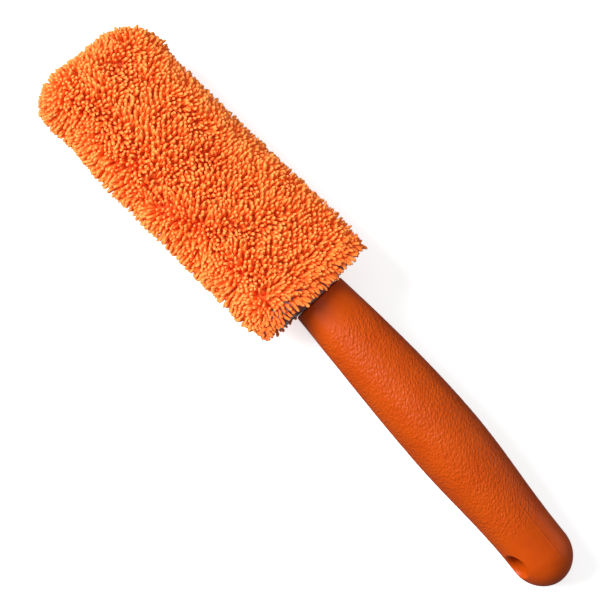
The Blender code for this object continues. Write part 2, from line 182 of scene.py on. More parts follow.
def oval(half_width, half_height, count, squareness=SQUARENESS):
    """(side, rise) points round a superellipse."""
    angle = 2 * np.pi * np.arange(count) / count
    c, s = np.cos(angle), np.sin(angle)
    side = half_width * np.copysign(np.abs(c) ** (2 / squareness), c)
    rise = half_height * np.copysign(np.abs(s) ** (2 / squareness), s)
    return np.column_stack((side, rise))


def grip_half_sizes(station):
    station = np.asarray(station, float)
    swell = np.sin(np.pi / 2 * np.clip(station, 0, GRIP_WIDEST) / GRIP_WIDEST)
    front = NECK_HALF_WIDTH + (GRIP_HALF_WIDTH - NECK_HALF_WIDTH) * swell
    share = (station - GRIP_WIDEST) / (WAIST - GRIP_WIDEST)
    rear = GRIP_HALF_WIDTH + (WAIST_HALF_WIDTH - GRIP_HALF_WIDTH) * ease(share)
    width = np.where(station < GRIP_WIDEST, front, rear)
    flatness = NECK_FLATNESS + (GRIP_FLATNESS - NECK_FLATNESS) * ease(station / GRIP_WIDEST)
    return width, width * flatness


# ---------------------------------------------------------------- meshes


def new_object(name, points, faces, look=None, smooth=True, placed=True):
    """An object from points in the head's frame and a list of faces, or of arrays of equal faces."""
    mesh = bpy.data.meshes.new(name)
    where = place(points) if placed else np.asarray(points, float)
    mesh.vertices.add(len(where))
    mesh.vertices.foreach_set("co", where.astype(np.float32).ravel())
    groups = [np.asarray(f, np.int32) for f in faces if len(f)]
    loops = np.concatenate([g.ravel() for g in groups])
    sizes = np.concatenate([np.full(len(g), g.shape[1], np.int32) for g in groups])
    mesh.loops.add(len(loops))
    mesh.loops.foreach_set("vertex_index", loops)
    mesh.polygons.add(len(sizes))
    starts = np.concatenate(([0], np.cumsum(sizes)[:-1])).astype(np.int32)
    mesh.polygons.foreach_set("loop_start", starts)
    mesh.update(calc_edges=True)
    if smooth:
        mesh.shade_smooth()
    if look:
        mesh.materials.append(look)
    made = bpy.data.objects.new(name, mesh)
    bpy.context.scene.collection.objects.link(made)
    return made


def set_value(obj, name, values):
    """Stores one number per point, for the material to read."""
    found = obj.data.attributes.new(name, "FLOAT", "POINT")
    found.data.foreach_set("value", np.asarray(values, np.float32).ravel())


def grid_faces(rows, columns, round_columns=True, round_rows=False):
    """Quads between rows of points."""
    r = np.arange(rows if round_rows else rows - 1)
    c = np.arange(columns if round_columns else columns - 1)
    a, b = np.meshgrid(r, c, indexing="ij")
    a, b = a.ravel(), b.ravel()
    a2, b2 = (a + 1) % rows, (b + 1) % columns
    return np.column_stack((a * columns + b, a * columns + b2, a2 * columns + b2, a2 * columns + b))


def lofted(name, rings, look=None, close_start=True, close_end=True, **options):
    """A tube through equal rings, closed at its ends by fans round a middle point."""
    rings = np.asarray(rings, float)
    rows, columns = rings.shape[:2]
    points = rings.reshape(-1, 3)
    faces = [grid_faces(rows, columns)]
    ring = np.arange(columns)
    for closed, row, turn in ((close_start, 0, 1), (close_end, rows - 1, -1)):
        if not closed:
            continue
        points = np.vstack((points, rings[row].mean(axis=0)))
        first, second = ring + row * columns, (ring + 1) % columns + row * columns
        middle = np.full(columns, len(points) - 1)
        faces.append(np.column_stack((middle, second, first) if turn > 0 else (middle, first, second)))
    return new_object(name, points, faces, look, **options)


def face_out(obj):
    """Turns the faces of a closed mesh outwards."""
    mesh = obj.data
    mesh.calc_loop_triangles()
    corners = np.array([v.co for v in mesh.vertices])[np.array([t.vertices for t in mesh.loop_triangles])]
    if np.linalg.det(corners).sum() < 0:
        mesh.flip_normals()
    return obj


def applied(obj):
    """Applies the object's modifiers to its mesh."""
    graph = bpy.context.evaluated_depsgraph_get()
    mesh = bpy.data.meshes.new_from_object(obj.evaluated_get(graph))
    obj.modifiers.clear()
    obj.data = mesh
    return obj


def cut(obj, *cutters):
    for cutter in cutters:
        modifier = obj.modifiers.new(cutter.name, "BOOLEAN")
        modifier.operation = "DIFFERENCE"
        modifier.solver = "EXACT"
        modifier.object = cutter
    applied(obj)
    for cutter in cutters:
        bpy.data.objects.remove(cutter, do_unlink=True)
    return obj


def shade_with_edges(obj, degrees):
    """Smooth shading, apart from edges sharper than this."""
    obj.data.shade_smooth()
    obj.data.set_sharp_from_angle(angle=math.radians(degrees))


def swept(name, section, outline, look, ripple=None, distance_name=None):
    """A (station, outset) section carried round a rounded rectangle's outline."""
    points, normals, distance = outline
    rings = []
    for p, n, d in zip(points, normals, distance):
        outset = section[:, 1] + (ripple(section, d) if ripple else 0.0)
        rings.append(np.column_stack((section[:, 0], p[0] + n[0] * outset, p[1] + n[1] * outset)))
    rings = np.array(rings)
    obj = new_object(
        name, rings.reshape(-1, 3), [grid_faces(len(rings), len(section), True, True)], look
    )
    face_out(obj)
    set_value(obj, "around", np.repeat(distance, len(section)))
    return obj


# ---------------------------------------------------------------- materials


class Look:
    """A material with a Principled shader, and short ways to add nodes to it."""

    def __init__(self, name, roughness, **sockets):
        self.material = bpy.data.materials.new(name)
        self.material.use_nodes = True
        self.tree = self.material.node_tree
        self.shader = self.tree.nodes["Principled BSDF"]
        self.shader.inputs["Roughness"].default_value = roughness
        for socket, value in sockets.items():
            self.shader.inputs[socket.replace("_", " ").title()].default_value = value
        self.place = self.tree.nodes.new("ShaderNodeTexCoord").outputs["Object"]

    def put(self, value, socket):
        if isinstance(value, bpy.types.NodeSocket):
            self.tree.links.new(value, socket)
        elif isinstance(value, tuple) and len(value) == 3 and socket.type == "RGBA":
            socket.default_value = (*value, 1.0)
        else:
            socket.default_value = value

    def node(self, kind, out=0, settings=None, **inputs):
        made = self.tree.nodes.new("ShaderNode" + kind)
        for key, value in (settings or {}).items():
            setattr(made, key, value)
        for key, value in inputs.items():
            found = made.inputs[int(key[1:])] if key[1:].isdigit() else made.inputs[key.replace("_", " ")]
            self.put(value, found)
        return made.outputs[out]

    def math(self, operation, a, b=0.0, c=0.0):
        return self.node("Math", 0, {"operation": operation}, i0=a, i1=b, i2=c)

    def mapped(self, scale, turn=(0, 0, 0), vector=None):
        return self.node(
            "Mapping", Vector=self.place if vector is None else vector, Scale=scale, Rotation=turn
        )

    def noise(self, size, detail=3.0, roughness=0.55, vector=None):
        return self.node(
            "TexNoise", "Fac", Vector=self.place if vector is None else vector,
            Scale=1 / size, Detail=detail, Roughness=roughness,
        )

    def cells(self, size, vector=None, feature="F1", smoothness=None):
        extra = {} if smoothness is None else {"Smoothness": smoothness}
        return self.node(
            "TexVoronoi", "Distance", {"feature": feature}, Scale=1 / size,
            Vector=self.place if vector is None else vector, **extra,
        )

    def waves(self, value, length):
        """A sine of a length in metres, from 0 to 1."""
        turned = self.math("MULTIPLY", value, 2 * math.pi / length)
        return self.math("MULTIPLY_ADD", self.math("SINE", turned), 0.5, 0.5)

    def value(self, name):
        """A number stored on the mesh by set_value."""
        return self.node("Attribute", "Fac", {"attribute_name": name})

    def parts(self):
        split = self.tree.nodes.new("ShaderNodeSeparateXYZ")
        self.put(self.place, split.inputs[0])
        return split.outputs

    def ramp(self, fac, *stops):
        made = self.tree.nodes.new("ShaderNodeValToRGB")
        made.color_ramp.interpolation = "EASE"
        elements = made.color_ramp.elements
        for index, (at, colour) in enumerate(stops):
            element = elements[index] if index < 2 else elements.new(at)
            element.position = at
            element.color = (*colour, 1.0)
        self.put(fac, made.inputs[0])
        return made.outputs[0]

    def mix(self, fac, a, b, kind="MIX"):
        made = self.tree.nodes.new("ShaderNodeMix")
        made.data_type = "RGBA"
        made.blend_type = kind
        self.put(fac, made.inputs[0])
        self.put(a, made.inputs[6])
        self.put(b, made.inputs[7])
        return made.outputs[2]

    def span(self, value, low, high, to_low=0.0, to_high=1.0):
        """Carries a value from one range to another, and clamps it there."""
        return self.node("MapRange", i0=value, i1=low, i2=high, i3=to_low, i4=to_high)

    def stained(self, colour, by, low, high, most, stain):
        """Goes from the colour towards the stain, by `most` at the end, as a value goes from low to high."""
        return self.mix(self.span(by, low, high, 0.0, most), colour, stain)

    def finish(self, colour=None, roughness=None, bumps=()):
        """Links the colour, the roughness and the bumps, each a (height, depth in metres) pair."""
        if colour is not None:
            self.put(colour, self.shader.inputs["Base Color"])
        if roughness is not None:
            self.put(roughness, self.shader.inputs["Roughness"])
        normal = None
        for height, depth in bumps:
            made = self.tree.nodes.new("ShaderNodeBump")
            made.inputs["Distance"].default_value = depth
            made.inputs["Strength"].default_value = 1.0
            self.put(height, made.inputs["Height"])
            if normal is not None:
                self.put(normal, made.inputs["Normal"])
            normal = made.outputs[0]
        if normal is not None:
            self.put(normal, self.shader.inputs["Normal"])
        return self.material


def pile_look():
    look = Look(
        "orange_loop_pile", 0.82, sheen_weight=0.14, sheen_roughness=0.45, sheen_tint=(1.0, 0.5, 0.2, 1.0),
        # Painted glow: a faint orange emission that stands in for light coming through the thin loops
        emission_strength=0.075, emission_color=(1.0, 0.15, 0.004, 1.0),
    )
    # Painted shade and painted highlight: deep red at the loops' roots, light orange at their tips
    body = look.ramp(
        look.value("painted_tip_light"),
        (0.0, (0.94, 0.115, 0.005)),
        (0.6, (1.0, 0.175, 0.009)),
        (1.0, (1.0, 0.36, 0.075)),
    )
    tint = look.ramp(look.value("shade"), (0.0, (0.90, 0.74, 0.62)), (1.0, (1.0, 1.0, 1.0)))
    fibres = look.noise(0.22 * MM, 2.0, 0.6)
    colour = look.stained(look.mix(1.0, body, tint, "MULTIPLY"), fibres, 0.35, 0.75, 0.35, (1.0, 0.38, 0.09))
    return look.finish(colour, look.span(fibres, 0.2, 0.8, 0.72, 0.95), [(fibres, 0.12 * MM)])


def ground_look():
    look = Look("orange_ground_cloth", 0.92, sheen_weight=0.2, sheen_roughness=0.5)
    x, y, _ = look.parts()
    knit = look.math(
        "MULTIPLY",
        look.waves(look.math("ADD", x, y), 0.9 * MM),
        look.waves(look.math("SUBTRACT", x, y), 0.7 * MM),
    )
    worn = look.noise(6 * MM)
    # Painted shade: the knit is darker in its dips and lighter on its loops
    colour = look.mix(knit, (0.86, 0.10, 0.006), (0.96, 0.17, 0.014))
    colour = look.stained(colour, worn, 0.35, 0.7, 0.4, (0.80, 0.09, 0.006))
    return look.finish(colour, look.span(worn, 0.3, 0.7, 0.85, 0.97), [(knit, 0.25 * MM)])


def tape_look(name, dark, light, length=0.75 * MM):
    """Woven tape: ribs across it, and threads that pass over and under them."""
    look = Look(name, 0.8, sheen_weight=0.25, sheen_roughness=0.45)
    warp = look.waves(look.value("around"), length)
    wavy = look.math("ADD", look.parts()[0], look.math("MULTIPLY", warp, 0.12 * MM))
    weft = look.waves(wavy, length * 1.25)
    over = look.math("MULTIPLY", warp, weft)
    under = look.math("MULTIPLY", look.math("SUBTRACT", 1.0, warp), look.math("SUBTRACT", 1.0, weft))
    weave = look.math("MAXIMUM", over, under)
    grime = look.noise(9 * MM)
    # Painted shade: each tape is darker where its threads dip under and lighter on top of them
    colour = look.stained(dark, weave, 0.0, 0.8, 1.0, light)
    colour = look.stained(colour, grime, 0.35, 0.75, 0.35, tuple(v * 0.6 for v in dark))
    return look.finish(colour, look.span(weave, 0.0, 1.0, 0.9, 0.7), [(weave, 0.22 * MM)])


def foam_look():
    look = Look("cream_foam", 0.95, sheen_weight=0.15, sheen_roughness=0.6)
    pores = look.span(look.cells(1.3 * MM), 0.1, 0.55)
    small_pores = look.span(look.cells(0.6 * MM), 0.05, 0.5, 0.35, 1.0)
    patches = look.noise(22 * MM)
    open_cells = look.math("MULTIPLY", pores, small_pores)
    # Painted shade in the pores: the foam is darker where its cells are open
    colour = look.ramp(
        open_cells, (0.0, (0.42, 0.34, 0.20)), (0.45, (0.78, 0.70, 0.52)), (1.0, (0.86, 0.80, 0.66))
    )
    colour = look.stained(colour, patches, 0.4, 0.8, 0.5, (0.80, 0.66, 0.40))
    return look.finish(colour, look.span(patches, 0.2, 0.8, 0.9, 1.0), [(open_cells, 0.4 * MM)])


def grip_look():
    look = Look("orange_gloss_plastic", 0.4, coat_weight=0.04, coat_roughness=0.25)
    look.shader.inputs["IOR"].default_value = 1.4
    look.shader.inputs["Specular IOR Level"].default_value = 0.2
    # Pebbles drawn out across the brush, and bent by a noise
    turned = look.mapped((1.0, 1.0, 1.0), (0, 0, math.radians(45)))
    stretched = look.mapped((0.5, 1.0, 0.8), vector=turned)
    warp = look.node("TexNoise", "Color", Vector=look.place, Scale=1 / (2.4 * MM), Detail=2.0)
    bent = look.node(
        "VectorMath", 0, {"operation": "MULTIPLY_ADD"}, i0=warp, i1=(0.9 * MM,) * 3, i2=stretched
    )
    grained = look.value("grained")
    pebbles = look.cells(1.05 * MM, bent, "SMOOTH_F1", 0.35)
    raised = look.math("MULTIPLY", look.span(pebbles, 0.05, 0.75, 1.0, 0.0), grained)
    # The mould's parting line, near the butt
    x, y, _ = look.parts()
    middle = look.span(look.math("ABSOLUTE", y), 0.12 * MM, 0.42 * MM, 1.0, 0.0)
    line = look.math("MULTIPLY", middle, look.span(x, 118 * MM, 135 * MM))
    orange_peel = look.noise(3.2 * MM, 2.0)
    mottle = look.noise(14 * MM)
    wear = look.noise(0.9 * MM, 4.0, 0.7)
    colour = look.stained((0.48, 0.054, 0.0012), mottle, 0.3, 0.7, 1.0, (0.54, 0.070, 0.0016))
    # Painted highlight: the raised pebbles of the grain are drawn lighter orange
    top = look.math("MULTIPLY", look.span(raised, 0.3, 1.0, 0.0, 0.35), grained)
    colour = look.mix(top, colour, (0.62, 0.085, 0.003))
    return look.finish(
        colour, look.span(wear, 0.3, 0.75, 0.36, 0.48),
        [(raised, 0.3 * MM), (orange_peel, 0.10 * MM), (line, 0.12 * MM)],
    )


def collar_look():
    look = Look("mauve_brown_plastic", 0.3, coat_weight=0.3, coat_roughness=0.2)
    swirl = look.noise(5 * MM, 4.0)
    fine = look.noise(0.7 * MM)
    colour = look.stained((0.24, 0.095, 0.092), swirl, 0.3, 0.7, 1.0, (0.32, 0.14, 0.135))
    return look.finish(colour, look.span(fine, 0.3, 0.7, 0.26, 0.42), [(fine, 0.03 * MM), (swirl, 0.06 * MM)])


def moulded_look(name, dark, light, roughness, grain=0.8 * MM, depth=0.05 * MM):
    """Plain moulded plastic or rubber: mottled, with a fine grain and uneven gloss."""
    look = Look(name, roughness)
    mottle = look.noise(11 * MM, 4.0)
    fine = look.noise(grain, 3.0, 0.6)
    pits = look.cells(grain * 2.2)
    colour = look.stained(dark, mottle, 0.3, 0.7, 1.0, light)
    # Painted shade in the pits: darker where the grain dips
    colour = look.mix(look.span(pits, 0.0, 0.25, 0.3, 0.0), colour, tuple(v * 0.7 for v in dark))
    rough = look.span(fine, 0.3, 0.7, roughness - 0.08, roughness + 0.1)
    return look.finish(colour, rough, [(fine, depth), (pits, depth)])


def steel_look():
    look = Look("steel_rivet", 0.3, metallic=1.0)
    brushed = look.noise(0.9 * MM, 3.0, 0.6, look.mapped((1.0, 1.0, 12.0)))
    stains = look.noise(1.6 * MM)
    colour = look.stained((0.66, 0.66, 0.68), stains, 0.4, 0.75, 0.6, (0.46, 0.43, 0.40))
    return look.finish(colour, look.span(brushed, 0.3, 0.7, 0.22, 0.45), [(brushed, 0.03 * MM)])


def thread_look():
    look = Look("grey_thread", 0.7, sheen_weight=0.3, sheen_roughness=0.4)
    x, y, z = look.parts()
    ply = look.waves(look.math("ADD", look.math("ADD", x, y), z), 0.35 * MM)
    tone = look.noise(3 * MM)
    # Painted shade and painted bounce light: the grey thread is darkened and warmed towards orange, and
    # darker between its plies
    colour = look.mix(ply, (0.30, 0.13, 0.09), (0.45, 0.23, 0.16))
    colour = look.stained(colour, tone, 0.35, 0.7, 0.4, (0.40, 0.33, 0.29))
    return look.finish(colour, look.span(ply, 0.0, 1.0, 0.8, 0.6), [(ply, 0.08 * MM)])


# ---------------------------------------------------------------- cover


def cover_form():
    """The cover's cloth as a closed block, before it is filled out: rows of (station, side, rise)."""
    rear_half_width = COVER_HALF_WIDTH - PILE_DEPTH + 0.1 * MM
    rear_half_height = COVER_HALF_HEIGHT - PILE_DEPTH - 0.6 * MM
    tip = COVER_TIP + PILE_DEPTH + 0.9 * MM
    turns = np.linspace(0.0, math.pi / 2, 9)
    rounded = tip + CLOTH_PLAN_CORNER * (1 - np.cos(turns))
    stations = np.concatenate((rounded, np.linspace(tip + CLOTH_PLAN_CORNER, CLOTH_REAR, 34)[1:]))
    rings = []
    for station in stations:
        back = (CLOTH_REAR - station) / (CLOTH_REAR - tip)
        wide = rear_half_width - TAPER_WIDTH * back - round_off(station - tip, CLOTH_PLAN_CORNER) * 0.93
        high = rear_half_height - TAPER_HEIGHT * back - round_off(station - tip, CLOTH_CORNER) * 0.8
        corner = min(CLOTH_CORNER, 0.9 * high, 0.9 * wide)
        outline, _ = rounded_rectangle(wide, high, corner, arc=7, flat=8, upright=3)
        rings.append(np.column_stack((np.full(len(outline), station), outline)))
    return np.array(rings)


def filled_out(obj, pressure, cap, held_from):
    """The closed cloth's points, filled out by simulation, each by `cap` at most, with the mouth held."""
    remesh = obj.modifiers.new("even", "REMESH")
    remesh.mode = "VOXEL"
    remesh.voxel_size = 3.6 * MM
    applied(obj)
    rest = np.array([v.co for v in obj.data.vertices])
    group = obj.vertex_groups.new(name="held")
    for v in obj.data.vertices:
        share = min(max((v.co.x - held_from) / (8 * MM), 0.0), 1.0)
        if share > 0:
            group.add([v.index], share, "REPLACE")
    cloth = obj.modifiers.new("cloth", "CLOTH")
    settings = cloth.settings
    settings.quality = 6
    settings.mass = 0.15
    settings.tension_stiffness = settings.compression_stiffness = 12
    settings.shear_stiffness = 8
    settings.bending_stiffness = 0.6
    settings.use_pressure = True
    settings.uniform_pressure_force = pressure
    settings.vertex_group_mass = "held"
    settings.effector_weights.gravity = 0.0
    cloth.collision_settings.use_collision = False
    scene = bpy.context.scene
    for number in range(1, CLOTH_FRAMES + 1):
        scene.frame_set(number)
    graph = bpy.context.evaluated_depsgraph_get()
    moved = np.array([v.co for v in obj.evaluated_get(graph).data.vertices])
    obj.modifiers.clear()
    scene.frame_set(1)
    step = moved - rest
    far = np.linalg.norm(step, axis=1, keepdims=True)
    step *= np.minimum(1.0, cap / np.maximum(far, 1e-9))
    return rest + step


def make_ground_cloth(look):
    """The cover's cloth: a bag, open at the mouth, filled out by simulation and shaped at its corners."""
    form = face_out(lofted("cover_form", cover_form(), look, placed=False))
    points = filled_out(form, 3.0, 1.6 * MM, -26 * MM)
    x, y, _ = points.T

    def near(station, side, length, width):
        """How near each point is to a place, from 0 to 1."""
        return np.exp(-(((x - station) / length) ** 2 + ((y - side) / width) ** 2))[:, None]

    # A loose corner of the bag stands out at the tip on the far side, and the other one is drawn in.
    loose = near(-145 * MM, 30 * MM, 8.5 * MM, 9 * MM) * np.array((0.0, 3.0, -0.8)) * MM
    drawn_in = near(-137 * MM, -31 * MM, 12 * MM, 9 * MM) * np.array((0.0, 2.4, 0.0)) * MM
    points = points + loose + drawn_in
    # The tip is set a little askew.
    points[:, 0] += 0.045 * y * ease((-138 * MM - x) / (16 * MM))
    form.data.vertices.foreach_set("co", points.astype(np.float32).ravel())
    form.data.update()
    finer = form.modifiers.new("finer", "SUBSURF")
    finer.levels = finer.render_levels = 1
    applied(form)
    mesh = form.data
    points = np.array([v.co for v in mesh.vertices])
    normals = np.array([v.normal for v in mesh.vertices])
    faces = [tuple(p.vertices) for p in mesh.polygons]
    middles = np.array([p.center for p in mesh.polygons])
    facing = np.array([p.normal for p in mesh.polygons])
    mouth = (facing[:, 0] > 0.7) & (middles[:, 0] > CLOTH_REAR - 3.5 * MM)
    kept = [f for f, gone in zip(faces, mouth) if not gone]
    quads = [f for f in kept if len(f) == 4]
    others = [f for f in kept if len(f) == 3]
    bpy.data.objects.remove(form, do_unlink=True)
    bag = new_object("cover_ground_cloth", points, [quads, others], look)
    thick = bag.modifiers.new("thickness", "SOLIDIFY")
    thick.thickness = CLOTH_THICKNESS
    thick.offset = -1.0
    thick.use_even_offset = True
    applied(bag)
    bag.data.shade_smooth()
    return bag, points, normals, kept


def jitter():
    return RANDOM.normal(0, 0.2 * MM, 2)


def face_starts(sign):
    """Points over the front or the back, in rows at 45 degrees to the brush."""
    pitch, row_pitch, slant = 2.38 * MM, 2.62 * MM, math.sqrt(0.5)
    for i, j in itertools.product(range(92), repeat=2):
        s, t = (i - 45) * pitch, (j - 45) * row_pitch
        dx, dy = jitter()
        x = -85 * MM + (s + t) * slant + dx
        y = (t - s) * slant * sign + dy
        if abs(y) <= 34 * MM and -170 * MM < x < PILE_REAR:
            yield x, y, sign * CLEAR_OF_BRUSH


def side_starts(sign):
    """Points beside the cover, in staggered rows."""
    for i, j in itertools.product(range(66), range(13)):
        x = -168 * MM + i * EDGE_PITCH
        dx, dz = jitter()
        if x <= PILE_REAR:
            yield x + dx, sign * CLEAR_OF_BRUSH, (j - 6 + 0.5 * (i % 2)) * EDGE_PITCH + dz


def tip_starts():
    """Points beyond the tip, in staggered rows."""
    for i, j in itertools.product(range(27), range(13)):
        dy, dz = jitter()
        yield -300 * MM, (i - 13 + 0.5 * (j % 2)) * EDGE_PITCH + dy, (j - 6) * EDGE_PITCH + dz


def surface_roots(points, normals, faces):
    """(places, normals) for the loops: rows on each face and edge, and a close fill in what they leave."""
    tree = BVHTree.FromPolygons([Vector(p) for p in points], faces)

    def hits(starts, direction, least):
        """(place, normal) where lines from these points meet the cloth, if it faces them enough."""
        for start in starts:
            spot, _, number, _ = tree.ray_cast(Vector(start), Vector(direction), 400 * MM)
            if spot is not None:
                normal = normals[list(faces[number])].mean(axis=0)
                if -np.dot(normal, direction) > least:
                    yield np.array(spot), normal / np.linalg.norm(normal)

    found = []
    for sign in (1, -1):
        found.extend(hits(face_starts(sign), (0, 0, -sign), 0.62))
        found.extend(hits(side_starts(sign), (0, -sign, 0), 0.80))
    found.extend(hits(tip_starts(), (1, 0, 0), 0.80))

    # Points drawn evenly over the surface, for the fill
    triangles = []
    for f in faces:
        triangles.append(f[:3])
        if len(f) == 4:
            triangles.append((f[0], f[2], f[3]))
    triangles = np.array(triangles)
    corner = points[triangles]
    area = np.linalg.norm(np.cross(corner[:, 1] - corner[:, 0], corner[:, 2] - corner[:, 0]), axis=1)
    chosen = RANDOM.choice(len(triangles), FILL_TRIES, p=area / area.sum())
    u, v = RANDOM.random((2, len(chosen), 1))
    flip = (u + v) > 1
    u, v = np.where(flip, 1 - u, u), np.where(flip, 1 - v, v)
    spots = corner[chosen, 0] * (1 - u - v) + corner[chosen, 1] * u + corner[chosen, 2] * v
    facing = unit(normals[triangles[chosen]].mean(axis=1))

    # A loop is kept if its end is clear of the ends kept so far, which are sorted into cubes.
    reach, cube = 5.6 * MM, 2.4 * MM
    neighbours = list(itertools.product((-1, 0, 1), repeat=3))
    taken = {}
    ends, end_normals = [], []
    for least, candidates in ((1.4 * MM, found), (1.75 * MM, zip(spots, facing))):
        for spot, normal in candidates:
            end = spot + normal * reach
            i, j, k = (end // cube).astype(int)
            near = (o for a, b, c in neighbours for o in taken.get((i + a, j + b, k + c), ()))
            if all(((other - end) ** 2).sum() >= least * least for other in near):
                ends.append(end)
                end_normals.append(normal)
                taken.setdefault((i, j, k), []).append(end)
    end_normals = np.array(end_normals)
    return np.array(ends) - end_normals * reach, end_normals


def make_fingers(name, root, normal, lean_way, lean, length, radius, shade, look, reach, sides=8):
    """Short twisted loops of pile: each stands on its root, bends over by `lean` and has a rounded end.

    `reach` is how far up the pile each one comes, as a share that scales its painted shade and painted
    highlight, dark at the root and light at the tip, and `shade` is how bright it is, both from 0 to 1.
    """
    count = len(root)
    heights = np.array((0.0, 0.22, 0.44, 0.64, 0.82, 0.93, 0.985))
    thick = np.array((0.90, 1.0, 1.05, 1.05, 1.0, 0.84, 0.52))
    normal = unit(normal)
    way = unit(lean_way - (lean_way * normal).sum(1, keepdims=True) * normal)
    across = np.cross(normal, way)
    bend = np.where(np.abs(lean) < 0.02, 0.02, lean)[:, None]
    phase = RANDOM.random((count, 1)) * 2 * np.pi
    twist = RANDOM.normal(3.4, 0.5, (count, 1))
    sway = RANDOM.normal(0, 0.09, (count, 1))
    angle = 2 * np.pi * np.arange(sides) / sides
    rings = np.zeros((count, len(heights), sides, 3))
    size = length[:, None]

    def centre(t):
        bent = root + size * (normal * np.sin(bend * t) / bend + way * (1 - np.cos(bend * t)) / bend)
        return bent + across * size * sway * t * t

    for k, (t, r) in enumerate(zip(heights, thick)):
        axis = normal * np.cos(bend * t) + way * np.sin(bend * t)
        other = np.cross(axis, across)
        wide = radius[:, None] * r * (1 + 0.17 * np.cos(2 * (angle[None] - phase) - twist * t * 2))
        rings[:, k] = centre(t)[:, None] + wide[..., None] * (
            across[:, None] * np.cos(angle)[None, :, None] + other[:, None] * np.sin(angle)[None, :, None]
        )
    each = len(heights) * sides + 1
    points = np.concatenate((rings.reshape(count, -1, 3), centre(1)[:, None]), axis=1).reshape(-1, 3)
    quads = grid_faces(len(heights), sides)
    last = (len(heights) - 1) * sides
    ring = np.arange(sides)
    caps = np.column_stack((last + ring, last + (ring + 1) % sides, np.full(sides, each - 1)))
    starts = (np.arange(count) * each)[:, None, None]
    made = new_object(
        name, points, [(quads[None] + starts).reshape(-1, 4), (caps[None] + starts).reshape(-1, 3)], look
    )
    # Painted shade and painted highlight, from root to tip, for the material's colour ramp
    painted_tip_light = np.concatenate((np.repeat(heights, sides), [1.0]))
    set_value(made, "painted_tip_light", np.outer(reach, painted_tip_light))
    set_value(made, "shade", np.repeat(shade, each))
    return made


def make_pile(look, points, normals, faces):
    """All the loops of the cover, split into pieces by place."""
    root, normal = surface_roots(points, normals, faces)
    # The seam between the panels has no loops on it.
    seam = (np.abs(root[:, 2]) < 0.75 * MM) & (np.abs(normal[:, 2]) < 0.5)
    root, normal = root[~seam], normal[~seam]
    # A second, shorter loop stands beside each one and fills the gaps.
    beside = unit(np.cross(normal, RANDOM.normal(0, 1, (len(root), 3)))) * 1.3 * MM
    under = np.repeat((False, True), len(root))
    root, normal = np.vstack((root, root + beside)), np.vstack((normal, normal))
    x, _, z = root.T
    count = len(root)
    # The loops lie over in whorls: `turn` is the way they lie, and `lean` is how far.
    swirl = smooth_noise(root, 17 * MM, 1)
    tilt = smooth_noise(root, 12 * MM, 2)
    fine = smooth_noise(root, 4.5 * MM, 3)
    base = np.array((-0.72, 0.69, 0.0)) * np.ones((count, 1))
    base[:, 1] *= np.where(z < 0, -1, 1)
    across = np.cross(normal, base)
    turn = np.radians(55 * swirl + 20 * fine + RANDOM.normal(0, 11, count))[:, None]
    way = base * np.cos(turn) + across * np.sin(turn)
    lean = np.radians(62 * tilt + 14 * fine + RANDOM.normal(0, 8, count))
    lean = np.where(np.abs(normal[:, 2]) < 0.75, lean * 0.7, lean)
    # Towards the mouth they lean back over the hem.
    mouth = ease((x + 18 * MM) / (12 * MM)) * (0.3 + 0.7 * np.abs(normal[:, 2]))
    back = np.array((1.0, 0.0, 0.0)) * np.ones((count, 1))
    way = unit(way) * (1 - mouth[:, None]) + back * mouth[:, None] * 1.6
    lean = lean * (1 - mouth) + mouth * math.radians(18)
    length = (6.5 + 0.45 * fine + RANDOM.normal(0, 0.35, count)) * MM
    length = length * (1 + 0.06 * mouth) * np.where(under, 0.68, 1.0)
    radius = LOOP_RADIUS + (0.04 * swirl + RANDOM.normal(0, 0.06, count)) * MM
    shade = np.clip(0.6 + 0.25 * swirl + RANDOM.normal(0, 0.2, count), 0, 1)
    # Painted shade: the shorter loops under the others get less of the light painted towards the tips
    reach = np.where(under, 0.62, 1.0)
    start = root - normal * 0.4 * MM
    groups = {
        "tip": x < -118 * MM,
        "middle": (x >= -118 * MM) & (x < -64 * MM),
        "mouth": (x >= -64 * MM) & (x < -20 * MM),
        "fringe": x >= -20 * MM,
    }
    made = []
    for part, chosen in groups.items():
        for face, facing in (("front", z > 0), ("back", z <= 0)):
            pick = chosen & facing
            made.append(make_fingers(
                f"pile_{face}_{part}", start[pick], normal[pick], way[pick], lean[pick],
                length[pick], radius[pick], shade[pick], look, reach[pick],
            ))
    made.append(make_fringe(look))
    return made


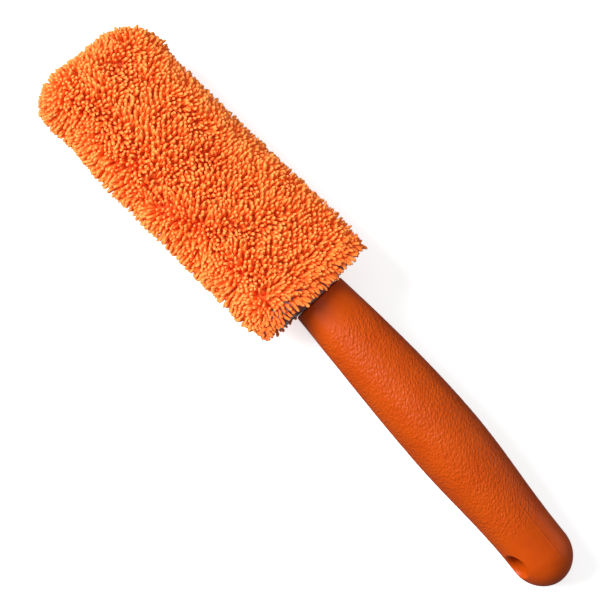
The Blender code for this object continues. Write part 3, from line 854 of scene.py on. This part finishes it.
def make_fringe(look):
    """Rows of loops along the mouth, which lean back over the hem and hide most of it."""
    # (station, outset, start angle, further bend, length), in mm and degrees
    rows = ((-9.4, 0.9, 8, 26, 6.4), (-8.0, 3.1, 14, 28, 4.8), (-6.5, 3.2, 20, 30, 4.8),
            (-4.9, 3.25, 34, 32, 5.3), (-3.4, 3.1, 52, 32, 6.6))
    outline, normals, distance = mouth_outline(0.4 * MM)
    rearward = np.array((1.0, 0, 0))
    root, facing, lean, length = [], [], [], []
    for number, (station, outset, start, bend, size) in enumerate(rows):
        where = 1.1 * MM * (number % 2)
        while where < distance[-1]:
            i = np.searchsorted(distance, where)
            side, up = outline[i][0], normals[i][1]
            where += (1.55 + RANDOM.normal(0, 0.25)) * MM
            edge = np.array((station * MM, *(outline[i] + normals[i] * outset * MM)))
            begin = math.radians(start + 14 * (1 - abs(up)) + RANDOM.normal(0, 9))
            root.append(edge + RANDOM.normal(0, 0.25 * MM, 3))
            facing.append(np.array((0.0, *normals[i])) * math.cos(begin) + rearward * math.sin(begin))
            lean.append(math.radians(bend + RANDOM.normal(0, 14)))
            # They are shorter at the two sides, at the corners and on the back.
            share = (0.68 + 0.32 * abs(up)) * (1 - 0.25 * ease((abs(side) - 15 * MM) / (11 * MM)))
            share *= 0.6 if up < -0.3 else 1.0
            length.append((size * share + RANDOM.normal(0, 0.5)) * MM)
    count = len(root)
    facing = np.array(facing)
    sideways = RANDOM.normal(0, 0.3, (count, 1)) * np.cross(facing, rearward)
    radius = 0.72 * MM + RANDOM.normal(0, 0.06, count) * MM
    # The painted shade and highlight of each edge loop are scaled at random, so some are darker
    return make_fingers(
        "pile_mouth_edge", np.array(root), facing, rearward + sideways, np.array(lean), np.array(length),
        radius, RANDOM.random(count), look, RANDOM.uniform(0.72, 1.0, count),
    )


# ---------------------------------------------------------------- hem, elastic, seam


def fold_section(front, rear, inner, outer, thickness, steps=14):
    """The section of a tape folded double round the rear, as (station, outset) points."""
    radius = (outer - inner - thickness) / 2
    middle = (inner + outer) / 2
    turn = rear - thickness / 2 - radius
    path, normals = [], []
    for s in np.linspace(front, turn, 8)[:-1]:
        path.append((s, middle - radius))
        normals.append((0, -1))
    for a in np.linspace(-math.pi / 2, math.pi / 2, steps):
        path.append((turn + radius * math.cos(a), middle + radius * math.sin(a)))
        normals.append((math.cos(a), math.sin(a)))
    for s in np.linspace(turn, front, 8)[1:]:
        path.append((s, middle + radius))
        normals.append((0, 1))
    path, wall = np.array(path), np.array(normals, float) * thickness / 2
    return np.vstack((path + wall, (path - wall)[::-1]))


def make_hem(look, thread):
    """The tape folded over the mouth's edge, a little puckered, and its stitches."""
    thickness, tape = 3.4 * MM, 0.85 * MM
    pucker, pucker_length = 0.11 * MM, 3.3 * MM
    stitch_pitch, stitch_station = 2.9 * MM, -6.6 * MM
    outline = mouth_outline(0.6 * MM)
    points, normals, distance = outline

    def ripple(section, where):
        share = np.clip(section[:, 1] / thickness, 0, 1)
        return pucker * math.sin(2 * math.pi * where / pucker_length) * share

    section = fold_section(CLOTH_REAR + 0.3 * MM, -2 * MM, 0.0, thickness, tape)
    hem = swept("hem_tape", section, outline, look, ripple)
    chosen = [
        min(np.searchsorted(distance, k * stitch_pitch), len(points) - 1)
        for k in range(int(distance[-1] / stitch_pitch))
    ]
    out = normals[chosen]
    station = np.full(len(chosen), stitch_station)
    middle = np.column_stack((station, points[chosen] + out * (thickness - 0.02 * MM)))
    way = np.column_stack((station * 0, -out[:, 1], out[:, 0]))
    normal = np.column_stack((station * 0, out))
    stitches = stitch_row("hem_stitches", middle, way, normal, 1.15 * MM, 0.24 * MM, thread)
    return hem, stitches


def stitch_row(name, middle, way, normal, half_length, radius, look, sides=8):
    """A row of stitches: short arched lengths of thread that dip into the cloth at both ends."""
    along_thread = np.linspace(-1, 1, 9)
    angle = 2 * np.pi * np.arange(sides) / sides
    points, quads, caps = [], [], []
    ring, last = np.arange(sides), (len(along_thread) - 1) * sides
    for m, w, n in zip(middle, way, normal):
        b = np.cross(w, n)
        start = len(points)
        for t in along_thread:
            arch = (1 - t * t) * 1.3 * radius - 0.9 * radius
            r = radius * math.sqrt(max(1 - abs(t) ** 5, 0.05))
            centre = m + w * half_length * t + n * arch
            points.extend(centre + (n * math.cos(a) + b * math.sin(a)) * r for a in angle)
        quads.append(grid_faces(len(along_thread), sides) + start)
        caps += [start + ring[::-1], start + last + ring]
    return new_object(name, np.array(points), [np.concatenate(quads), np.array(caps)], look)


def make_elastic(look):
    """The braided elastic inside the hem: ribbed along its length, with a fine ripple round the mouth."""
    front, rear, ribs = -6.75 * MM, -3.25 * MM, 15
    outer, inner, middle = 2.08 * MM, 1.32 * MM, 1.7 * MM
    station = np.linspace(front / MM, rear / MM, ribs) * MM
    rib = 0.09 * MM * np.cos(np.arange(ribs) * math.pi)
    top = np.column_stack((station, outer + rib))
    bottom = np.column_stack((station, inner - rib))[::-1]

    def ripple(section, where):
        return 0.035 * MM * math.sin(2 * math.pi * where / (1.1 * MM)) * np.sign(section[:, 1] - middle)

    return swept("hem_elastic_braid", np.vstack((top, bottom)), mouth_outline(0.5 * MM), look, ripple)


def make_seam(look, thread):
    """The tape that binds the seam inside the cover: a folded strip with a stitched groove."""
    tip = COVER_TIP + PILE_AND_CLOTH + 0.45 * MM
    wide = CAVITY_HALF_WIDTH - TAPER_WIDTH - 0.5 * MM
    rear, corner = -8.9 * MM, CAVITY_PLAN_CORNER
    half_depth, half_width, offset, groove = 0.62 * MM, 1.85 * MM, 0.8 * MM, 0.22 * MM
    # One side of the cover from the mouth to the tip's middle, then the same mirrored
    path = [(s, wide) for s in np.linspace(rear, tip + corner, 110)]
    turns = np.linspace(0, math.pi / 2, 22)
    path += [(tip + corner * (1 - math.sin(a)), wide - corner + corner * math.cos(a)) for a in turns[1:]]
    path += [(tip, y) for y in np.linspace(wide - corner, 0, 16)[1:]]
    path += [(s, -y) for s, y in path[-2::-1]]
    path = np.array(path)
    tangent = np.gradient(path, axis=0)
    tangent /= np.linalg.norm(tangent, axis=1, keepdims=True)
    inward = np.column_stack((-tangent[:, 1], tangent[:, 0]))
    distance = np.concatenate(([0], np.cumsum(np.linalg.norm(np.diff(path, axis=0), axis=1))))
    angle = np.linspace(0, 2 * math.pi, 20, endpoint=False)
    c, s = np.cos(angle), np.sin(angle)
    rings = []
    for p, n, d in zip(path, inward, distance):
        wave = 0.05 * MM * math.sin(2 * math.pi * d / (4.1 * MM))
        deep = offset + np.copysign(np.abs(c) ** 0.6, c) * half_depth + wave
        deep = deep - groove * np.exp(-((s / 0.35) ** 2)) * (c > 0)
        up = np.copysign(np.abs(s) ** 0.6, s) * half_width
        rings.append(np.column_stack((p[0] + n[0] * deep, p[1] + n[1] * deep, up)))
    seam = face_out(lofted("seam_binding", rings, look))
    set_value(seam, "around", np.append(np.repeat(distance, len(angle)), (0.0, distance[-1])))
    pick = np.arange(4, len(path) - 4, 3)
    middle, way, normal = (
        np.column_stack((flat, np.zeros(len(pick))))
        for flat in (path[pick] + inward[pick] * 1.28 * MM, tangent[pick], inward[pick])
    )
    stitches = stitch_row("seam_stitches", middle, way, normal, 1.2 * MM, 0.2 * MM, thread)
    return seam, stitches


# ---------------------------------------------------------------- paddle


def make_foam(name, sign, look):
    """A pad of foam, flat where it is glued and crowned elsewhere, with a worn, open-celled surface."""
    glued, crest, half_width = 2.7 * MM, 12.3 * MM, 26 * MM
    rear, tip = -4.4 * MM, -156 * MM
    plan_corner, rear_edge, crown_height = 12 * MM, 1.2 * MM, 0.35 * MM
    quarter = math.pi / 2
    stations = np.concatenate((
        tip + plan_corner * (1 - np.cos(np.linspace(0.06, quarter, 20))),
        np.linspace(tip + plan_corner, rear - rear_edge, 128)[1:],
        rear - rear_edge * (1 - np.sin(np.linspace(0.2, quarter, 5))),
    ))
    rings = []
    for station in stations:
        back = (rear - station) / (rear - tip)
        end = round_off(rear + 0.05 * MM - station, rear_edge)
        wide = half_width - TAPER_WIDTH * back - round_off(station - tip, plan_corner) - end
        high = crest - TAPER_HEIGHT * back - round_off(station - tip, 8 * MM) * 0.95 - end
        top = max(high, glued + 1.2 * MM)
        corner = min(8 * MM, (top - glued) * 0.85, wide * 0.85)
        foot = min(0.8 * MM, (top - glued) * 0.2)
        upper, lower = wide - corner, wide - foot
        section = arc_points(upper, top - corner, corner, 0, quarter, 14)
        section += [(s, top) for s in np.linspace(upper, -upper, 40)[1:-1]]
        section += arc_points(-upper, top - corner, corner, quarter, 2 * quarter, 14)
        section += arc_points(-lower, glued + foot, foot, 2 * quarter, 3 * quarter, 5)
        section += [(s, glued) for s in np.linspace(-lower, lower, 30)[1:-1]]
        section += arc_points(lower, glued + foot, foot, 3 * quarter, 4 * quarter, 5)
        side, rise = np.array(section).T
        crown = crown_height * np.cos(np.clip(side / wide, -1, 1) * quarter)
        rise = np.where(rise > glued + 1 * MM, rise - crown_height + crown, rise)
        rings.append(np.column_stack((np.full(len(side), station), side, rise * sign)))
    rings = np.array(rings)
    points = rings.reshape(-1, 3)
    dents = smooth_noise(points, 9 * MM, 5) * 0.12 * MM + smooth_noise(points, 1.7 * MM, 6) * 0.10 * MM
    outward = points - np.array((0.0, 0.0, (glued + 4 * MM) * sign))
    outward[:, 0] = 0
    worn = np.abs(points[:, 2]) > glued + 0.3 * MM
    points = points - unit(outward) * ((0.12 * MM + dents) * worn)[:, None]
    return face_out(lofted(name, points.reshape(rings.shape), look))


# ---------------------------------------------------------------- handle


def leather_height(station, around):
    """Raised cells between creases, from 0 to 1, drawn out at 45 degrees to the handle."""
    girth, long_cells, short_cells = 105 * MM, 46, 72
    u = (station / girth + around) * long_cells
    v = (station / girth - around) * short_cells
    iu, iv = np.floor(u).astype(int), np.floor(v).astype(int)
    table = np.random.default_rng(7).random((1021, 2))
    best = np.full(u.shape, 9.0)
    second = np.full(u.shape, 9.0)
    for du in (-1, 0, 1):
        for dv in (-1, 0, 1):
            cu, cv = iu + du, iv + dv
            laps = np.floor_divide(cv, short_cells)
            key = ((cu + laps * long_cells) * 157 + (cv - laps * short_cells) * 311) % 1021
            d = np.hypot(u - cu - table[key, 0] * 0.9, v - cv - table[key, 1] * 0.9)
            second = np.minimum(second, np.maximum(best, d))
            best = np.minimum(best, d)
    edge = np.clip((second - best) / 0.45, 0, 1)
    return edge * edge * (3 - 2 * edge)


def turned_sideways(station, profile, count=96):
    """Rings of a shape turned about the side-to-side axis at a station, from (side, radius) pairs."""
    centre = along(station, 0.0, 0.0)
    angle = DROOP_AT_NECK + station / ARC_RADIUS
    forward = np.array((math.cos(angle), 0, -math.sin(angle)))
    up = np.array((math.sin(angle), 0, math.cos(angle)))
    turn = 2 * np.pi * np.arange(count) / count
    spokes = np.outer(np.cos(turn), forward) + np.outer(np.sin(turn), up)
    return np.array([centre + np.array((0, side, 0)) + spokes * radius for side, radius in profile])


def skin_rings(stations, butt, rounding, wall, columns, relief=0.0):
    """Rings of the grip's surface, this far inside it, with a relief added outwards."""
    shrink = np.sqrt(1 - np.clip((stations - butt) / rounding, 0, 1) ** 2)
    width, height = grip_half_sizes(stations)
    base = oval(1.0, 1.0, columns)
    side = base[None, :, 0] * ((width - wall) * shrink)[:, None]
    rise = base[None, :, 1] * ((height - wall) * shrink)[:, None]
    slope = np.copysign(np.abs(base) ** (SQUARENESS - 1), base)
    out = slope[None] / np.stack((width, height), axis=1)[:, None]
    out = out / np.hypot(out[..., :1], out[..., 1:])
    return along(stations[:, None], side + out[..., 0] * relief, rise + out[..., 1] * relief)


def make_grip(look):
    """The moulded skin: leather grain on the hand's part, smooth at the neck and the butt, hollow inside."""
    columns, grain_depth, parting_height, mouth_edge = 216, 0.18 * MM, 0.07 * MM, 0.8 * MM
    butt = HANDLE_LENGTH - BUTT_ROUNDING
    turns = np.linspace(0, math.pi / 2 - 0.012, 40)[1:]
    stations = np.concatenate((np.linspace(GRIP_START, butt, 324), butt + BUTT_ROUNDING * np.sin(turns)))
    cells = leather_height(stations[:, None], np.arange(columns)[None] / columns)
    fade = ease((stations - 12 * MM) / (10 * MM)) * (1 - ease((stations - 145 * MM) / (13 * MM)))
    relief = grain_depth * fade[:, None] * (cells - 0.5)
    parting = np.isin(np.arange(columns), (columns // 4, columns * 3 // 4))
    relief = relief + parting_height * parting[None] * ease((stations - 135 * MM) / (15 * MM))[:, None]
    relief = relief - round_off(stations - GRIP_START, mouth_edge)[:, None] * 0.9
    rings = skin_rings(stations, butt, BUTT_ROUNDING, 0.0, columns, relief)
    skin = face_out(lofted("grip_moulded_skin", rings, look))
    rounding = BUTT_ROUNDING - SKIN_WALL
    turns = np.linspace(0, math.pi / 2 - 0.05, 14)[1:]
    stations = np.concatenate((np.linspace(GRIP_START - 1 * MM, butt, 60), butt + rounding * np.sin(turns)))
    hollow = face_out(lofted("grip_hollow", skin_rings(stations, butt, rounding, SKIN_WALL, 72)))
    far = GRIP_HALF_WIDTH + 1 * MM
    lining = [(side, HOLE_RADIUS + HOLE_LINING) for side in (-far, far)]
    cut(hollow, face_out(lofted("hole_lining", turned_sideways(HOLE_STATION, lining, 64))))
    lip = []
    for a in np.linspace(0, math.pi / 2, 14):
        lip.append((HOLE_LIP_START + HOLE_LIP * math.sin(a), HOLE_RADIUS + HOLE_LIP * (1 - math.cos(a))))
    lip.append((far, HOLE_RADIUS + HOLE_LIP + 0.01 * MM))
    straight = [(s, HOLE_RADIUS) for s in np.linspace(-HOLE_LIP_START, HOLE_LIP_START, 16)[1:-1]]
    profile = [(-s, r) for s, r in reversed(lip)] + straight + lip
    cut(skin, hollow, face_out(lofted("hole", turned_sideways(HOLE_STATION, profile))))
    shade_with_edges(skin, 42)
    x = np.array([v.co.x for v in skin.data.vertices])
    start, end = (place(along(station, 0, 0))[0][0] for station in (12 * MM, 158 * MM))
    set_value(skin, "grained", ease((x - start) / (10 * MM)) * (1 - ease((x - (end - 14 * MM)) / (14 * MM))))
    return skin


def make_collar(look):
    """The plate in the cover's mouth, with softened edges, a fillet to the neck and a spigot."""
    count, soft, spread = 128, 0.5 * MM, 0.38
    plate = oval(COLLAR_HALF_WIDTH, COLLAR_HALF_HEIGHT, count, 4)
    neck = oval(*(float(v) for v in grip_half_sizes(0)), count)
    size = np.array((COLLAR_HALF_WIDTH, COLLAR_HALF_HEIGHT))

    def drawn_in(inset):
        return plate * (size - inset) / size

    turns = np.linspace(0, math.pi / 2, 6)
    edge = [(soft * (1 - math.sin(a)), drawn_in(soft * (1 - math.cos(a)))) for a in turns]
    rows = [(inward - COLLAR_THICKNESS, outline) for inward, outline in edge[::-1]]
    rows += [(-inward, outline) for inward, outline in edge]
    for a in np.linspace(0, math.pi / 2, 12):
        outline = neck + (plate - neck) * spread * (1 - math.sin(a))
        rows.append((0.02 * MM + COLLAR_FILLET * (1 - math.cos(a)), outline))
    for station in (COLLAR_FILLET + 0.03 * MM, 7 * MM, SPIGOT_END - 0.5 * MM, SPIGOT_END):
        width, height = grip_half_sizes(station)
        inset = SKIN_WALL + 0.3 * MM + (0.4 * MM if station == SPIGOT_END else 0.0)
        rows.append((station, oval(width - inset, height - inset, count)))
    rings = np.array([along(station, outline[:, 0], outline[:, 1]) for station, outline in rows])
    collar = face_out(lofted("collar_moulded", rings, look))
    # The slot that the blade's tang goes through
    half, wide = 1.9 * MM, 7.3 * MM
    corners = np.array(((-wide, -half), (wide, -half), (wide, half), (-wide, half)))
    stations = np.array((-5.0, 0.0, 6.5, 13.0)) * MM
    slot = np.array([along(s, corners[:, 0], corners[:, 1]) for s in stations])
    cut(collar, face_out(lofted("collar_slot", slot)))
    shade_with_edges(collar, 48)
    return collar


# ---------------------------------------------------------------- stage


def make_stage():
    white = (1.0, 1.0, 1.0, 1.0)
    floor_look = Look("pale_floor", 0.9)
    tone = floor_look.noise(0.35, 2.0)
    floor_look.finish(floor_look.mix(tone, (0.90, 0.90, 0.90), (0.93, 0.93, 0.93)), 0.9)
    floor_look.shader.inputs["Emission Color"].default_value = white
    floor_look.shader.inputs["Emission Strength"].default_value = 0.6
    half, z = 2.6, -1 * MM
    corners = [(-half, -half, z), (half, -half, z), (half, half, z), (-half, half, z)]
    floor = new_object("floor", corners, [[(0, 1, 2, 3)]], floor_look.material, placed=False)
    floor.visible_glossy = False
    floor.visible_diffuse = False

    world = bpy.data.worlds.new("studio")
    bpy.context.scene.world = world
    world.use_nodes = True
    background = world.node_tree.nodes["Background"]
    background.inputs["Color"].default_value = white
    background.inputs["Strength"].default_value = 0.2

    def area(name, where, aim, size, energy):
        data = bpy.data.lights.new(name, "AREA")
        data.shape = "DISK"
        data.size = size
        data.energy = energy
        lamp = bpy.data.objects.new(name, data)
        lamp.location = where
        lamp.rotation_euler = (Vector(aim) - Vector(where)).to_track_quat("-Z", "Y").to_euler()
        bpy.context.scene.collection.objects.link(lamp)

    area("key", (-1.9, -2.1, 1.8), (0, 0, 0.02), 1.9, 176)
    area("top", (-0.5, -0.8, 3.2), (0, 0, 0), 2.6, 18)
    area("rear", (1.5, 2.2, 1.3), (0, 0, 0), 1.8, 10)


def make_camera():
    """A long lens, square to the brush's face and leant back, with the brush from corner to corner."""
    lens, sensor, frame_width = 200.0, 36.0, 292.2 * MM
    # How far the middle of the brush lies from the middle of the frame
    right_of_centre, below_centre = 12.1263 * MM, 6.1849 * MM
    lean = math.radians(28)
    back = Vector((0, -math.sin(lean), math.cos(lean)))
    across = Vector((0, math.cos(lean), math.sin(lean)))
    right = (Vector((1, 0, 0)) * 0.689 + across * 0.7248).normalized()
    up = back.cross(right)
    data = bpy.data.cameras.new("camera")
    data.lens, data.sensor_width = lens, sensor
    camera = bpy.data.objects.new("camera", data)
    aim = Vector((0, 0, 24 * MM)) - right * right_of_centre + up * below_centre
    turned = Matrix((right, up, back)).transposed().to_4x4()
    turned.translation = aim + back * frame_width * lens / sensor
    camera.matrix_world = turned
    data.clip_start, data.clip_end = 0.05, 20
    bpy.context.scene.collection.objects.link(camera)
    bpy.context.scene.camera = camera


# ---------------------------------------------------------------- the brush


def dress(node, look):
    """Gives a CAD part that keeps its shape a better material."""
    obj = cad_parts[node]
    obj.data.materials.clear()
    obj.data.materials.append(look)


def settle(obj, body, slot, *replaced):
    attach(obj, body)
    if replaced:
        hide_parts(*replaced)


pile = pile_look()
cloth, cloth_points, cloth_normals, cloth_faces = make_ground_cloth(ground_look())
settle(cloth, "cover", "orange_loop_pile", "cover_front_panel", "cover_back_panel")
for tuft in make_pile(pile, cloth_points, cloth_normals, cloth_faces):
    settle(tuft, "cover", "orange_loop_pile")

thread = thread_look()
# Painted shade and painted bounce light: the binding's grey is darkened and warmed towards orange, as it
# looks among the shaded loops
hem, hem_stitches = make_hem(tape_look("grey_binding", (0.25, 0.13, 0.11), (0.40, 0.26, 0.23)), thread)
settle(hem, "cover", "grey_binding", "hem_binding")
settle(hem_stitches, "cover", "grey_binding")
elastic = make_elastic(tape_look("white_elastic", (0.50, 0.49, 0.46), (0.86, 0.85, 0.82), 0.55 * MM))
settle(elastic, "cover", "white_elastic", "hem_elastic")
seam, seam_stitches = make_seam(tape_look("orange_seam_tape", (0.50, 0.12, 0.02), (0.88, 0.33, 0.10)), thread)
settle(seam, "cover", "orange_seam_tape", "seam_tape")
settle(seam_stitches, "cover", "orange_seam_tape")

foam = foam_look()
for side_name, sign in (("front", 1), ("back", -1)):
    pad = make_foam(f"foam_{side_name}_pad", sign, foam)
    settle(pad, "handle", "cream_foam", f"foam_{side_name}")

grip = make_grip(grip_look())
settle(grip, "handle", "orange_gloss_plastic", "grip_skin")
collar = make_collar(collar_look())
settle(collar, "handle", "mauve_brown_plastic", "shoulder_collar")

dress("paddle_blade", moulded_look("black_blade_plastic", (0.022, 0.022, 0.025), (0.05, 0.05, 0.055), 0.42))
rubber = moulded_look("grey_edge_guard", (0.10, 0.10, 0.105), (0.19, 0.19, 0.20), 0.82, 1.1 * MM, 0.15 * MM)
dress("edge_guard", rubber)
glue = moulded_look("amber_adhesive", (0.58, 0.42, 0.18), (0.74, 0.62, 0.38), 0.35, 1.6 * MM, 0.08 * MM)
dress("adhesive_front", glue)
dress("adhesive_back", glue)
core = moulded_look("natural_core_plastic", (0.52, 0.50, 0.45), (0.64, 0.62, 0.57), 0.5)
dress("core_upper", core)
dress("core_lower", core)
steel = steel_look()
for rivet in ("tang_rivet_front", "tang_rivet_rear", "core_rivet_middle", "core_rivet_butt"):
    dress(rivet, steel)

make_stage()
make_camera()
bpy.context.scene.view_settings.view_transform = "Standard"
